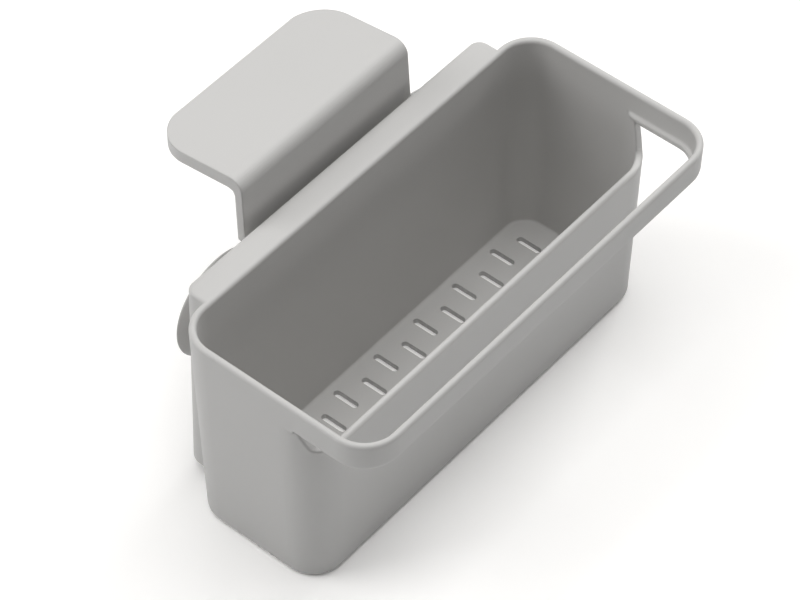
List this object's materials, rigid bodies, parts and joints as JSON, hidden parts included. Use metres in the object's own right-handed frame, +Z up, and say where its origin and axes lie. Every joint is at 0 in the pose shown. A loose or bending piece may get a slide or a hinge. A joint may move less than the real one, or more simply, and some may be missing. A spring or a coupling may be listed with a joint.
{
  "type": "kitchen sink caddy",
  "caption": "Open sink caddy: a tapered tub with drain slots and a low front wall, a cloth rail on arms, a height-adjustable hook at the back and suction cups",
  "frame": {"origin": "centre of the bounding box at the bottom, on the surface that the tub stands on", "axes": "+X along the tub's length, +Y towards the sink wall where the hook and the suction cups are, +Z up"},
  "size_m": [0.2058, 0.1554, 0.1252],
  "materials": {
    "tub_plastic": "matte",
    "hook_plastic": "matte",
    "cup_rubber": "satin"
  },
  "bodies": {
    "tub": {"tub": "tub_plastic", "suction_cup_left": "cup_rubber", "suction_cup_right": "cup_rubber"},
    "hanger": {"hanger": "hook_plastic"}
  },
  "joints": [
    {"name": "hanger_slide", "type": "slide", "parent": "tub", "child": "hanger", "axis": [0, 0, 1], "range_m": [-0.004, 0.027]}
  ]
}
